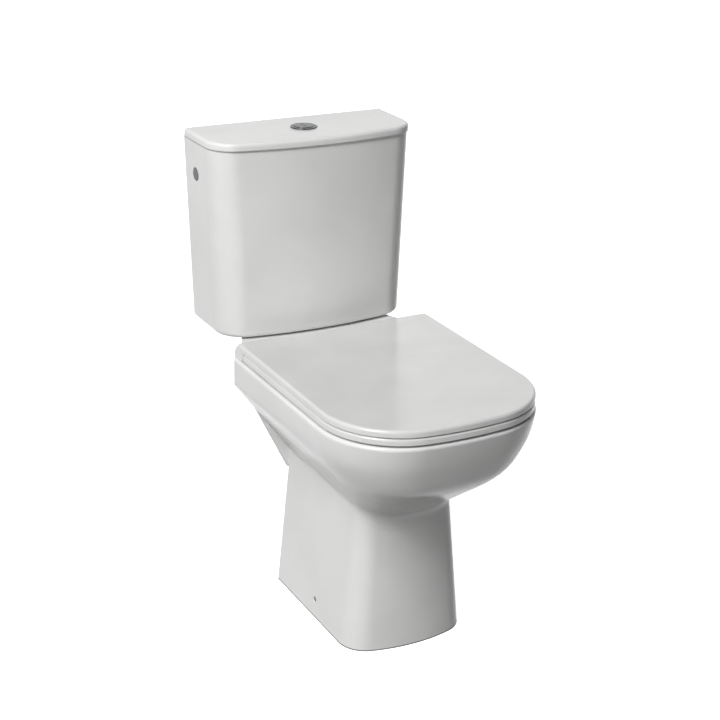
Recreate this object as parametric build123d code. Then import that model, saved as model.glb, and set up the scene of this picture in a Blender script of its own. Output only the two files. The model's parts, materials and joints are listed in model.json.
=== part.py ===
from build123d import *
import os
from math import cos, exp, log, radians, sin, sqrt

os.makedirs("parts", exist_ok=True)

# Close coupled toilet, in millimetres.
# X runs to the right for someone who faces the toilet, Z is up from the floor.
# The front is towards -Y. Depths are written as distances out from the wall face.
# The origin is on the floor, in the middle of the foot's length.

# Foot and pedestal
FOOT_BACK = 200.0
FOOT_FRONT = 495.0
FOOT_HALF = 107.5
FOOT_CORNER = 48.0
FOOT_BOW = 270.0
PEDESTAL_TOP_DROP = 158.0
PEDESTAL_SIDE_LEAN = 25.2
PEDESTAL_FRONT_LEAN = 17.0
PEDESTAL_TOP_CORNER = 33.0
PEDESTAL_TOP_BOW = 230.0
PEDESTAL_WALL = 12.0
PEDESTAL_HOLLOW_DROP = 182.0

# Pan rim and hull
RIM_Z = 420.0
RIM_HALF = 180.0
RIM_FRONT = 637.0
RIM_BACK = 188.0
RIM_CORNER = 131.0
RIM_BOW = 549.0
RIM_EDGE_ROUND = 5.0
RIM_SLAB = 24.0
BAND_DEPTH = 46.0
BAND_FRONT_LEAN = 8.0
BACK_CORNER = 6.0
HULL_WALL = 10.0
HULL_SIDE_SLOPE = 0.733
# the band turns into the hull sharply at the back and softly at the front, over these drops
BAND_SOFT = 14.0
BAND_TURN = [-34.0, -24.0, -15.0, -7.0, 0.0, 7.0, 15.0]
# under the band: drop below its lower edge, and how far the front has come in by then
HULL_FRONT = [
    (29.0, 14.0),
    (49.0, 27.0),
    (74.0, 56.0),
    (99.0, 90.0),
    (124.0, 123.0),
    (149.0, 153.0),
    (169.0, 177.0),
]

# Flange at the back of the hull: its knee and its foot, as drops below the band and half widths
FLANGE_THICK = 14.0
FLANGE_ROUND = 5.0
FLANGE_KNEE_DROP = 31.0
FLANGE_KNEE_HALF = 153.0
FLANGE_FOOT_DROP = 164.0
FLANGE_FOOT_HALF = 87.0

# Bowl: drop below the rim, half width, back and front of each oval level
BOWL_LEVELS = [
    (-1.0, RIM_HALF - 39.0, 284.0, RIM_FRONT - 39.0),
    (25.0, RIM_HALF - 42.0, 287.0, RIM_FRONT - 44.0),
    (80.0, RIM_HALF - 64.0, 300.0, RIM_FRONT - 67.0),
    (130.0, RIM_HALF - 94.0, 316.0, RIM_FRONT - 109.0),
    (170.0, RIM_HALF - 118.0, 328.0, FOOT_FRONT - 19.0),
    (205.0, RIM_HALF - 132.0, 337.0, FOOT_FRONT - 57.0),
]
# Sump: height above the floor, half width, back and front of each oval level
SUMP_LEVELS = [
    (150.0, 38.0, 345.0, 425.0),
    (75.0, 33.0, 350.0, 416.0),
]
BOWL_WALL = 10.0
SUMP_FLOOR = 14.0

# Trap and outlet
TRAP_BORE = 31.0
TRAP_WALL = 10.0
TRAP_DIP_Z = 75.0
TRAP_RISE_BEND = 48.0
TRAP_TOP_BEND = 46.0
TRAP_RISE_OUT = 282.0
TRAP_JOINT_OUT = 331.5
OUTLET_Z = 182.0
OUTLET_END = 130.0
SPIGOT_RADIUS = 51.0
SPIGOT_LENGTH = 52.0
ROOT_RADIUS = 57.0
ROOT_LENGTH = 32.0

# Platform for the cistern, at the back of the pan
PLATFORM_STEP = 5.5
PLATFORM_DEPTH = 52.0
PLATFORM_BACK = 22.0
PLATFORM_BACK_HALF = 92.0
PLATFORM_WIDE_OUT = 150.0
PLATFORM_WIDE_HALF = 148.0
PLATFORM_FRONT_GAP = 14.0
PLATFORM_SIDE_IN = 10.0
PLATFORM_SLAB = 20.0
PLATFORM_WALL = 12.0

# Flush way from the cistern to the bowl
FLUSH_OUT = 77.5
DUCT_HALF = 45.0
DUCT_WALL = 12.0
DUCT_TOP_DROP = 27.0
DUCT_HEIGHT = 25.0
DUCT_JOINT_GAP = 17.0
DUCT_MOUTH = 48.0
GASKET_RECESS = 25.0
GASKET_OUTER = 56.0
GASKET_INNER = 43.0
GASKET_SIDE_GAP = 2.0
FLUSH_INLET_RADIUS = 29.0

# Cistern
SUPPORT_WASHER = 3.0
CISTERN_HEIGHT = 320.5
CISTERN_TOP_HALF = 182.5
CISTERN_TOP_FRONT = 153.0
CISTERN_BOTTOM_HALF = 171.0
CISTERN_BOTTOM_FRONT = 151.0
CISTERN_CORNER = 50.5
CISTERN_BOW = 735.0
CISTERN_WALL = 10.0
CISTERN_INNER_CORNER = 13.0
CISTERN_FLOOR = 12.3
CISTERN_BOTTOM_ROUND = 8.0

# Cistern lid
LID_HALF = 184.2
LID_FRONT = 155.6
LID_EDGE = 13.3
LID_CORNER = 52.0
LID_BACK_CORNER = 7.0
LID_TOP_ROUND = 6.0
LIP_DEPTH = 9.0
LIP_WIDTH = 8.0
LIP_GAP = 1.5

# Dual flush button
BEZEL_RADIUS = 22.5
BEZEL_HEIGHT = 2.2
SLEEVE_RADIUS = 19.0
SLEEVE_WALL = 2.0
SLEEVE_LENGTH = 30.0
LID_HOLE_GAP = 0.8
BUTTON_GAP = 0.4
BUTTON_SPLIT_GAP = 0.8
BUTTON_DEPTH = 7.0
BUTTON_PROUD = 0.8
ROD_X = 9.0
ROD_RADIUS = 3.0
BUTTON_NUT_RADIUS = 25.0
BUTTON_NUT_HEIGHT = 7.0

# Flush valve: heights are drops below the cistern's top edge or rises above its floor
VALVE_TAIL_RADIUS = 29.0
VALVE_TAIL_BORE = 25.0
VALVE_TAIL_DROP = 22.7
VALVE_HOLE_GAP = 2.0
VALVE_WASHER = 3.0
VALVE_FLANGE_RADIUS = 45.0
VALVE_FLANGE = 6.0
VALVE_SEAT_RADIUS = 29.0
VALVE_SEAT_HEIGHT = 3.0
BACK_NUT_RADIUS = 40.0
BACK_NUT_HEIGHT = 11.0
BASKET_POST_RADIUS = 38.0
BASKET_POST_DEEP = 5.0
BASKET_POST_WIDE = 7.0
BASKET_RISE = 113.0
BASKET_RING_RADIUS = 42.5
BASKET_RING = 8.0
TUBE_RADIUS = 16.0
TUBE_WALL = 2.5
TUBE_TOP_DROP = 97.0
TUBE_GUIDE_GAP = 0.06
SEAL_THICK = 3.0
SEAL_RADIUS = 31.0
SEAL_PLATE = 4.0
FLUSH_FLOAT_RADIUS = 29.0
FLUSH_FLOAT_LOW = 18.0
FLUSH_FLOAT_HEIGHT = 46.0
PIVOT_X = 25.0
PIVOT_DROP = 67.0
PIN_RADIUS = 2.0
PIN_GAP = 0.05
PIN_SEAT_GAP = 0.02
TOWER_POST = 6.0
TOWER_POST_Y = 13.0
TOWER_HEAD = 6.0
ROCKER_SIDE_GAP = 0.3
ROCKER_BOSS = 4.5
ROCKER_HALF = 18.0
ROCKER_THICK = 6.0
ROCKER_WIDTH = 10.0
ROD_END_GAP = 1.0
YOKE_LEG_X = 50.0
YOKE_LEG = 5.0
YOKE_WIDTH = 9.0
YOKE_BAR_DROP = 117.0
YOKE_BAR = 7.0
YOKE_HOOK_X = 38.0
YOKE_HOOK = 6.0
HOOK_GAP = 1.5
COLLAR_HEIGHT = 12.0
COLLAR_RADIUS = 21.0
COLLAR_GAP = 0.5

# Fill valve and the side holes of the cistern
SIDE_HOLE_OUT = 43.5
SIDE_HOLE_DROP = 56.0
SIDE_HOLE_RADIUS = 9.2
SPOT_FACE_DEPTH = 0.4
INSIDE_FACE_RADIUS = 17.0
SHANK_RADIUS = 8.6
SUPPLY_RADIUS = 8.33
SHANK_BORE = 4.5
SUPPLY_LENGTH = 15.0
SIDE_WASHER = 2.0
SIDE_WASHER_RADIUS = 15.0
SIDE_WASHER_GAP = 0.2
FILL_FLANGE = 4.0
FILL_BARREL_RADIUS = 13.0
FILL_BARREL_IN = 64.5
FILL_NUT_RADIUS = 14.0
FILL_NUT_HEIGHT = 8.0
FILL_NUT_SHOW = 1.0
FILL_NUT_FACE = 15.0
DISCHARGE_RADIUS = 8.0
DISCHARGE_WALL = 1.5
DISCHARGE_IN = 54.5
DISCHARGE_RISE = 23.0
DISCHARGE_SOCKET = 10.5
DISCHARGE_SOCKET_LENGTH = 24.0
DISCHARGE_SOCKET_DEPTH = 12.0
ARM_PIVOT_GAP = 20.0
ARM_IN = 44.5
ARM_WIDTH = 8.0
ARM_THICK = 7.0
ARM_LUG = 4.0
ARM_SIDE_GAP = 0.6
FLOAT_ARM_LENGTH = 36.0
FLOAT_RADIUS = 18.0
FLOAT_HEIGHT = 60.0
FLOAT_DROP = 6.0
FLOAT_ROD_RADIUS = 2.5
PLUG_HEAD_RADIUS = 10.8
PLUG_HEAD = 1.5
PLUG_FACE_GAP = 0.3
PLUG_RADIUS = 8.6
PLUG_NUT_RADIUS = 14.0
PLUG_NUT_HEIGHT = 6.0
PLUG_TAIL = 3.0

# Cistern bolts
BOLT_X = 76.0
BOLT_RADIUS = 4.0
BOLT_HOLE_RADIUS = 5.5
BOLT_HEAD_RADIUS = 7.5
BOLT_HEAD = 4.0
BOLT_TAIL = 27.0
RUBBER_WASHER = 4.0
RUBBER_WASHER_RADIUS = 11.0
STEEL_WASHER = 1.6
STEEL_WASHER_RADIUS = 10.0
WING_NUT_RADIUS = 7.0
WING_NUT_HEIGHT = 8.0
WING_SPAN = 13.0
WING_THICK = 3.0
THREAD_GAP = 0.1

# Seat ring, seat lid and hinge
SEAT_SIDE_IN = 4.2
SEAT_FRONT_IN = 1.5
RING_UNDER_GAP = 4.0
RING_THICK = 10.5
RING_BACK_GAP = 18.0
RING_BACK_LAP = 8.0
RING_BACK_CORNER = 1.5
RING_HOLE_HALF = 108.0
RING_HOLE_BACK = 292.0
RING_HOLE_FRONT_IN = 84.0
RING_ROUND = 4.0
SEAT_LID_GAP = 2.0
SEAT_LID_RIM = 17.0
SEAT_LID_RECESS = 6.0
SEAT_LID_SKIN = 1.0
SEAT_LID_ROUND = 5.0
CHEEK_GAP = 1.0
CHEEK_LIFT = 1.5
HINGE_IN = 15.0
HINGE_RISE = 14.0
BARREL_RADIUS = 13.3
BARREL_INNER = 10.6
BARREL_END = 12.0
KNUCKLE_RADIUS = 9.8
KNUCKLE_WIDTH = 11.0
KNUCKLE_GAP = 0.5
KNUCKLE_BAR = 9.0
HINGE_BOLT_X = 77.5
POST_HALF_WIDTH = 8.0
POST_HALF_DEPTH = 6.0
POST_BASE_RADIUS = 11.0
POST_BASE = 3.0
HINGE_PIN_RADIUS = 3.0
HINGE_BOLT_RADIUS = 4.0
HINGE_BOLT_HOLE = 6.0
HINGE_BOLT_LENGTH = 52.0
HINGE_WASHER_RADIUS = 11.0
HINGE_WASHER = 3.0
HINGE_NUT_RADIUS = 9.0
HINGE_NUT_HEIGHT = 10.0
COVER_DROP = 7.5
COVER_CLEAR_ANGLE = 45.0
COVER_SIDE_GAP = 2.0
BUMPER_RADIUS = 8.0
BUMPER_BACK = (RIM_HALF - 23.0, 400.0)
BUMPER_FRONT = (118.0, RIM_FRONT - 65.0)
LID_BUMPER_RADIUS = 6.0
LID_BUMPER_BACK = (RIM_HALF - 38.0, 400.0)
LID_BUMPER_FRONT = (104.0, RIM_FRONT - 73.0)

# Floor fixing inside the pedestal
FIX_OUT = 344.5
FIX_Z = 30.0
FIX_SCREW_RADIUS = 2.6
FIX_HOLE_GAP = 0.6
FIX_HEAD_RADIUS = 3.8
FIX_HEAD = 2.5
FIX_HEAD_SUNK = 3.4
FIX_SCREW_LENGTH = 24.0
BRACKET_THICK = 5.0
BRACKET_HALF_WIDTH = 20.0
BRACKET_FOOT = 36.0
BRACKET_TOP_Z = 52.0
BRACKET_WALL_GAP = 0.3
FLOOR_SCREW_RADIUS = 3.5
FLOOR_SCREW_HEAD_RADIUS = 7.0
FLOOR_SCREW_HEAD = 4.0

# How far a cut runs past a face, a length beyond the whole toilet, and a length too small to matter
PAST = 1.0
FAR = 2000.0
TOUCH = 0.1

# Worked out from the sizes above
WALL_Y = (FOOT_BACK + FOOT_FRONT) / 2
PEDESTAL_TOP_Z = RIM_Z - PEDESTAL_TOP_DROP
PEDESTAL_HOLLOW_Z = RIM_Z - PEDESTAL_HOLLOW_DROP
BAND_Z = RIM_Z - BAND_DEPTH
BAND_FRONT = RIM_FRONT - BAND_FRONT_LEAN
HOLLOW_TOP_Z = RIM_Z - RIM_SLAB
PLATFORM_Z = RIM_Z + PLATFORM_STEP
PLATFORM_BOTTOM_Z = PLATFORM_Z - PLATFORM_DEPTH
PLATFORM_FRONT = RIM_BACK - PLATFORM_FRONT_GAP
PLATFORM_FRONT_HALF = RIM_HALF - PLATFORM_SIDE_IN
SLAB_BOTTOM_Z = PLATFORM_Z - PLATFORM_SLAB
THROAT_TOP_Z = RIM_Z - BOWL_LEVELS[3][0]
SUMP_TOP_Z = RIM_Z - BOWL_LEVELS[5][0]
DUCT_TOP_Z = RIM_Z - DUCT_TOP_DROP
DUCT_BOTTOM_Z = DUCT_TOP_Z - DUCT_HEIGHT
DUCT_END = BOWL_LEVELS[1][2]
DUCT_JOINT_OUT = DUCT_END - DUCT_JOINT_GAP
GASKET_RECESS_Z = PLATFORM_Z - GASKET_RECESS
SPIGOT_END = OUTLET_END + SPIGOT_LENGTH
ROOT_END = SPIGOT_END + ROOT_LENGTH
CISTERN_BOTTOM_Z = PLATFORM_Z + SUPPORT_WASHER
CISTERN_TOP_Z = CISTERN_BOTTOM_Z + CISTERN_HEIGHT
CISTERN_FLOOR_Z = CISTERN_BOTTOM_Z + CISTERN_FLOOR
LID_TOP_Z = CISTERN_TOP_Z + LID_EDGE
VALVE_FLANGE_Z = CISTERN_FLOOR_Z + VALVE_WASHER
VALVE_SEAT_Z = VALVE_FLANGE_Z + VALVE_FLANGE + VALVE_SEAT_HEIGHT
VALVE_TAIL_BOTTOM_Z = CISTERN_BOTTOM_Z - VALVE_TAIL_DROP
BASKET_TOP_Z = CISTERN_FLOOR_Z + BASKET_RISE
BASKET_RING_Z = BASKET_TOP_Z + BASKET_RING
TUBE_BOTTOM_Z = VALVE_SEAT_Z + SEAL_THICK
TUBE_TOP_Z = CISTERN_TOP_Z - TUBE_TOP_DROP
PIVOT_Z = CISTERN_TOP_Z - PIVOT_DROP
YOKE_BAR_Z = CISTERN_TOP_Z - YOKE_BAR_DROP
ROCKER_TOP_Z = PIVOT_Z + ROCKER_THICK / 2
HOOK_Z = ROCKER_TOP_Z + HOOK_GAP
SIDE_HOLE_Z = CISTERN_TOP_Z - SIDE_HOLE_DROP
FILL_BARREL_END_X = CISTERN_TOP_HALF - FILL_BARREL_IN
DISCHARGE_X = CISTERN_TOP_HALF - DISCHARGE_IN
DISCHARGE_BOTTOM_Z = CISTERN_FLOOR_Z + DISCHARGE_RISE
ARM_X = CISTERN_TOP_HALF - ARM_IN
ARM_PIVOT_OUT = SIDE_HOLE_OUT + ARM_PIVOT_GAP
FLOAT_OUT = ARM_PIVOT_OUT + FLOAT_ARM_LENGTH
BOLT_HEAD_Z = CISTERN_FLOOR_Z + RUBBER_WASHER
BOLT_END_Z = SLAB_BOTTOM_Z - BOLT_TAIL
WING_NUT_TOP_Z = SLAB_BOTTOM_Z - STEEL_WASHER
SEAT_HALF = RIM_HALF - SEAT_SIDE_IN
SEAT_FRONT = RIM_FRONT - SEAT_FRONT_IN
SEAT_CORNER = RIM_CORNER - SEAT_SIDE_IN
SEAT_BOW = RIM_BOW - SEAT_SIDE_IN
RING_BOTTOM_Z = RIM_Z + RING_UNDER_GAP
RING_TOP_Z = RING_BOTTOM_Z + RING_THICK
RING_HOLE_FRONT = SEAT_FRONT - RING_HOLE_FRONT_IN
HINGE_OUT = RIM_BACK + HINGE_IN
HINGE_Z = RIM_Z + HINGE_RISE
RING_BACK = HINGE_OUT + RING_BACK_GAP
SEAT_LID_BOTTOM_Z = RING_TOP_Z + SEAT_LID_GAP
SEAT_LID_TOP_Z = HINGE_Z + BARREL_RADIUS
HINGE_BOLT_END_Z = RIM_Z - HINGE_BOLT_LENGTH


def y_at(out):
    return WALL_Y - out


def d_wire(z, half, front, back, corner, bow, back_corner, half_back=None):
    # straight back with two small corners, straight sides, two large front corners, bowed front
    if half_back is None:
        half_back = half
    y_front = y_at(front)
    y_back = y_at(back)
    bow_y = y_front + bow
    reach = sqrt((bow - corner) ** 2 - (half - corner) ** 2)
    corner_x = half - corner
    corner_y = bow_y - reach
    grow = bow / (bow - corner)
    meet_x = corner_x * grow
    meet_y = bow_y + (corner_y - bow_y) * grow
    turn_x = 1 + (meet_x - corner_x) / corner
    turn_y = (meet_y - corner_y) / corner
    turn = corner / sqrt(turn_x**2 + turn_y**2)
    middle_x = corner_x + turn_x * turn
    middle_y = corner_y + turn_y * turn
    tip = back_corner * (1 - cos(radians(45)))
    edges = [
        Line((-half_back + back_corner, y_back, z), (half_back - back_corner, y_back, z)),
        ThreePointArc(
            (half_back - back_corner, y_back, z),
            (half_back - tip, y_back - tip, z),
            (half_back, y_back - back_corner, z),
        ),
        Line((half_back, y_back - back_corner, z), (half, corner_y, z)),
        ThreePointArc((half, corner_y, z), (middle_x, middle_y, z), (meet_x, meet_y, z)),
        ThreePointArc((meet_x, meet_y, z), (0, y_front, z), (-meet_x, meet_y, z)),
        ThreePointArc((-meet_x, meet_y, z), (-middle_x, middle_y, z), (-half, corner_y, z)),
        Line((-half, corner_y, z), (-half_back, y_back - back_corner, z)),
        ThreePointArc(
            (-half_back, y_back - back_corner, z),
            (-half_back + tip, y_back - tip, z),
            (-half_back + back_corner, y_back, z),
        ),
    ]
    return Wire(edges)


def oval_wire(z, half, back, front):
    plane = Plane((0, y_at((back + front) / 2), z))
    return (plane * Ellipse(half, (front - back) / 2)).wire()


def block(x, out, z):
    middle = ((x[0] + x[1]) / 2, y_at((out[0] + out[1]) / 2), (z[0] + z[1]) / 2)
    return Pos(*middle) * Box(abs(x[1] - x[0]), abs(out[1] - out[0]), abs(z[1] - z[0]))


def upright(radius, x, out, low, high):
    return Pos(x, y_at(out), (low + high) / 2) * Cylinder(radius, high - low)


def washer(outer, inner, x, out, low, high):
    return upright(outer, x, out, low, high) - upright(inner, x, out, low - PAST, high + PAST)


def along_x(radius, x0, x1, out, z):
    return Pos((x0 + x1) / 2, y_at(out), z) * Rot(0, 90, 0) * Cylinder(radius, abs(x1 - x0))


def along_y(radius, x, out0, out1, z):
    return Pos(x, y_at((out0 + out1) / 2), z) * Rot(90, 0, 0) * Cylinder(radius, abs(out1 - out0))


def nut(radius, hole, x, out, low, high):
    hexagon = Pos(x, y_at(out), low) * extrude(RegularPolygon(radius, 6), high - low)
    return hexagon - upright(hole, x, out, low - PAST, high + PAST)


def both_sides(solid):
    return [solid, mirror(solid, about=Plane.YZ)]


def rounded(solid, edges, radius):
    return solid.fillet(radius, edges)


def save(name, *solids):
    shape = solids[0] if len(solids) == 1 else Compound(children=list(solids))
    shape.label = name
    export_step(shape, f"parts/{name}.step")
    print(name, "%.1f cm3" % (sum(s.volume for s in solids) / 1000))


# Pan
def hull_wire(drop, front, inset, back):
    # drop is measured from the band's lower edge, and is negative on the band
    turn = BAND_SOFT * log(1 + exp(drop / BAND_SOFT))
    half = RIM_HALF - HULL_SIDE_SLOPE * turn
    half_back = RIM_HALF - HULL_SIDE_SLOPE * max(drop, 0)
    corner = half * RIM_CORNER / RIM_HALF - inset
    bow = half * RIM_BOW / RIM_HALF - inset
    return d_wire(
        BAND_Z - drop, half - inset, front - inset, back, corner, bow, BACK_CORNER, half_back - inset
    )


def band_front(drop):
    # the band leans in a little, and more where it turns into the hull
    lean = BAND_FRONT_LEAN / BAND_DEPTH
    first_drop, first_in = HULL_FRONT[0]
    more = first_in / first_drop - lean
    return BAND_FRONT - lean * drop - more * BAND_SOFT * log(1 + exp(drop / BAND_SOFT))


def hull(inset, back, top_z):
    # a band under the rim, and below it flat sides that lean in and a round front
    top_drop = BAND_Z - top_z
    drops = [top_drop] + [drop for drop in BAND_TURN if drop > top_drop]
    band = [hull_wire(drop, band_front(drop), inset, back) for drop in drops]
    under = [band[-1]]
    for drop, front_in in HULL_FRONT:
        under.append(hull_wire(drop, BAND_FRONT - front_in, inset, back))
    return Solid.make_loft(band, True) + Solid.make_loft(under, False)


def flange():
    points = [
        (RIM_HALF, BAND_Z),
        (FLANGE_KNEE_HALF, BAND_Z - FLANGE_KNEE_DROP),
        (FLANGE_FOOT_HALF, BAND_Z - FLANGE_FOOT_DROP),
    ]
    outline = Polyline(*points, *[(-x, z) for x, z in reversed(points)], close=True)
    face = Plane((0, y_at(RIM_BACK), 0), x_dir=(1, 0, 0), z_dir=(0, -1, 0)) * make_face(outline)
    body = extrude(face, FLANGE_THICK).solid()
    sloped = [e for e in body.edges() if abs(e.tangent_at(0.5).Z) > TOUCH]
    return rounded(body, sloped, FLANGE_ROUND)


def pedestal_half(z):
    return FOOT_HALF - PEDESTAL_SIDE_LEAN * z / PEDESTAL_TOP_Z


def pedestal(inset, low, high):
    # ruled between the foot on the floor and its top inside the hull
    wires = []
    for z in (low, high):
        t = z / PEDESTAL_TOP_Z
        half = pedestal_half(z) - inset
        front = FOOT_FRONT - PEDESTAL_FRONT_LEAN * t - inset
        corner = FOOT_CORNER + (PEDESTAL_TOP_CORNER - FOOT_CORNER) * t - inset
        bow = FOOT_BOW + (PEDESTAL_TOP_BOW - FOOT_BOW) * t - inset
        wires.append(d_wire(z, half, front, FOOT_BACK + inset, corner, bow, BACK_CORNER))
    return Solid.make_loft(wires, True)


def platform(inset, front, low, high):
    points = [
        (PLATFORM_BACK_HALF - inset, y_at(PLATFORM_BACK + inset)),
        (PLATFORM_WIDE_HALF - inset, y_at(PLATFORM_WIDE_OUT)),
        (PLATFORM_FRONT_HALF - inset, y_at(PLATFORM_FRONT)),
    ]
    if front > PLATFORM_FRONT:
        points.append((PLATFORM_FRONT_HALF - inset, y_at(front)))
    outline = Polyline(*points, *[(-x, y) for x, y in reversed(points)], close=True)
    return Pos(0, 0, low) * extrude(make_face(outline), high - low)


def bowl(grow):
    levels = [(RIM_Z - drop, half, back, front) for drop, half, back, front in BOWL_LEVELS]
    wires = []
    for z, half, back, front in levels + SUMP_LEVELS:
        wires.append(oval_wire(z, half + grow, back - grow, front + grow))
    return Solid.make_loft(list(reversed(wires)), False)


def duct(back, front):
    return block((-DUCT_HALF, DUCT_HALF), (back, front), (DUCT_BOTTOM_Z, DUCT_TOP_Z))


def trap_path():
    rise_y = y_at(TRAP_RISE_OUT)
    lowest = SUMP_LEVELS[-1]
    start = (0, y_at((lowest[2] + lowest[3]) / 2), TRAP_DIP_Z)
    low_turn = (0, rise_y - TRAP_RISE_BEND, TRAP_DIP_Z)
    rise_low = (0, rise_y, TRAP_DIP_Z + TRAP_RISE_BEND)
    rise_high = (0, rise_y, OUTLET_Z - TRAP_TOP_BEND)
    top_turn = (0, rise_y + TRAP_TOP_BEND, OUTLET_Z)
    end = (0, y_at(OUTLET_END), OUTLET_Z)
    low_mid = (
        0,
        rise_y - TRAP_RISE_BEND * (1 - sin(radians(45))),
        TRAP_DIP_Z + TRAP_RISE_BEND * (1 - cos(radians(45))),
    )
    top_mid = (
        0,
        rise_y + TRAP_TOP_BEND * (1 - cos(radians(45))),
        OUTLET_Z - TRAP_TOP_BEND * (1 - sin(radians(45))),
    )
    return Wire(
        [
            Line(start, low_turn),
            ThreePointArc(low_turn, low_mid, rise_low),
            Line(rise_low, rise_high),
            ThreePointArc(rise_high, top_mid, top_turn),
            Line(top_turn, end),
        ]
    )


def trap(radius):
    path = trap_path()
    section = Plane(path @ 0, z_dir=path % 0) * Circle(radius)
    return sweep(section, path=path)


def fix_face_x():
    return pedestal_half(FIX_Z)


def fix_head_x():
    return fix_face_x() - FIX_HEAD_SUNK


def make_pan():
    body = hull(0, RIM_BACK, RIM_Z) + pedestal(0, 0, PEDESTAL_TOP_Z)
    top_edges = [e for e in body.edges() if e.center().Z > RIM_Z - TOUCH]
    body = rounded(body, top_edges, RIM_EDGE_ROUND) + flange()
    inside = RIM_BACK + BACK_CORNER
    body = body + platform(0, inside, PLATFORM_BOTTOM_Z, RIM_Z - RIM_EDGE_ROUND)
    body = body + platform(0, PLATFORM_FRONT, RIM_Z - RIM_EDGE_ROUND, PLATFORM_Z)
    body = body - platform(PLATFORM_WALL, inside, PLATFORM_BOTTOM_Z - PAST, SLAB_BOTTOM_Z)
    body = body - hull(HULL_WALL, RIM_BACK - HULL_WALL, HOLLOW_TOP_Z)
    body = body - pedestal(PEDESTAL_WALL, -PAST, PEDESTAL_HOLLOW_Z)
    duct_x = DUCT_HALF + DUCT_WALL
    duct_back = FLUSH_OUT - DUCT_HALF
    body = body + block(
        (-duct_x, duct_x),
        (duct_back - DUCT_WALL, DUCT_JOINT_OUT),
        (DUCT_BOTTOM_Z - DUCT_WALL, SLAB_BOTTOM_Z),
    )
    body = body - bowl(0) - duct(duct_back, DUCT_JOINT_OUT + PAST)
    body = body - along_y(ROOT_RADIUS + PIN_SEAT_GAP, 0, SPIGOT_END, ROOT_END, OUTLET_Z)
    recess = GASKET_OUTER + GASKET_SIDE_GAP
    body = body - upright(recess, 0, FLUSH_OUT, GASKET_RECESS_Z, PLATFORM_Z + PAST)
    body = body - upright(FLUSH_INLET_RADIUS, 0, FLUSH_OUT, DUCT_TOP_Z - PAST, PLATFORM_Z)
    for x in (-BOLT_X, BOLT_X):
        body = body - upright(BOLT_HOLE_RADIUS, x, FLUSH_OUT, PLATFORM_BOTTOM_Z, PLATFORM_Z + PAST)
    for x in (-HINGE_BOLT_X, HINGE_BOLT_X):
        body = body - upright(HINGE_BOLT_HOLE, x, HINGE_OUT, HOLLOW_TOP_Z - PAST, RIM_Z + PAST)
    hole = FIX_SCREW_RADIUS + FIX_HOLE_GAP
    sink = FIX_HEAD_RADIUS + FIX_HOLE_GAP
    for side in (-1, 1):
        inner_x = side * (fix_face_x() - 2 * PEDESTAL_WALL)
        body = body - along_x(hole, inner_x, side * FOOT_HALF, FIX_OUT, FIX_Z)
        body = body - along_x(sink, side * fix_head_x(), side * FOOT_HALF, FIX_OUT, FIX_Z)
    return body


# The bowl, throat, sump and trapway are one casting with the pan, kept as nodes of their own
def basin():
    body = bowl(BOWL_WALL) & block((-FAR, FAR), (0, FAR), (0, HOLLOW_TOP_Z))
    low_z, low_half, low_back, low_front = SUMP_LEVELS[-1]
    sump_half = low_half + BOWL_WALL
    body = body + block(
        (-sump_half, sump_half),
        (low_back - BOWL_WALL, low_front + BOWL_WALL),
        (low_z - TRAP_BORE - SUMP_FLOOR, low_z + BOWL_WALL),
    )
    ahead = block((-FAR, FAR), (TRAP_JOINT_OUT, FAR), (0, FAR))
    body = body + (trap(TRAP_BORE + TRAP_WALL) & ahead)
    duct_x = DUCT_HALF + DUCT_WALL
    body = body + block(
        (-duct_x, duct_x),
        (DUCT_JOINT_OUT, DUCT_END + DUCT_WALL),
        (DUCT_BOTTOM_Z - DUCT_WALL, HOLLOW_TOP_Z),
    )
    return body - bowl(0) - trap(TRAP_BORE) - duct(DUCT_JOINT_OUT - PAST, DUCT_END + DUCT_MOUTH)


def basin_slice(low, high):
    return basin() & block((-FAR, FAR), (0, FAR), (low, high))


def make_trapway():
    behind = block((-FAR, FAR), (0, TRAP_JOINT_OUT), (0, FAR))
    body = trap(TRAP_BORE + TRAP_WALL) & behind
    body = body + along_y(SPIGOT_RADIUS, 0, OUTLET_END, SPIGOT_END, OUTLET_Z)
    body = body + along_y(ROOT_RADIUS, 0, SPIGOT_END, ROOT_END, OUTLET_Z)
    return body - trap(TRAP_BORE)


# Cistern and its lid
def cistern_half(z):
    t = (z - CISTERN_BOTTOM_Z) / (CISTERN_TOP_Z - CISTERN_BOTTOM_Z)
    return CISTERN_BOTTOM_HALF + (CISTERN_TOP_HALF - CISTERN_BOTTOM_HALF) * t


def cistern_front(z):
    t = (z - CISTERN_BOTTOM_Z) / (CISTERN_TOP_Z - CISTERN_BOTTOM_Z)
    return CISTERN_BOTTOM_FRONT + (CISTERN_TOP_FRONT - CISTERN_BOTTOM_FRONT) * t


def cistern_block(inset, back, low, high):
    wires = []
    for z in (low, high):
        wires.append(
            d_wire(
                z,
                cistern_half(z) - inset,
                cistern_front(z) - inset,
                back,
                CISTERN_CORNER - inset,
                CISTERN_BOW - inset,
                CISTERN_INNER_CORNER,
            )
        )
    return Solid.make_loft(wires, True)


def outside_face_x():
    return cistern_half(SIDE_HOLE_Z - FILL_NUT_FACE) - SPOT_FACE_DEPTH


def inside_face_x():
    return cistern_half(SIDE_HOLE_Z + INSIDE_FACE_RADIUS) - CISTERN_WALL + SPOT_FACE_DEPTH


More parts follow.
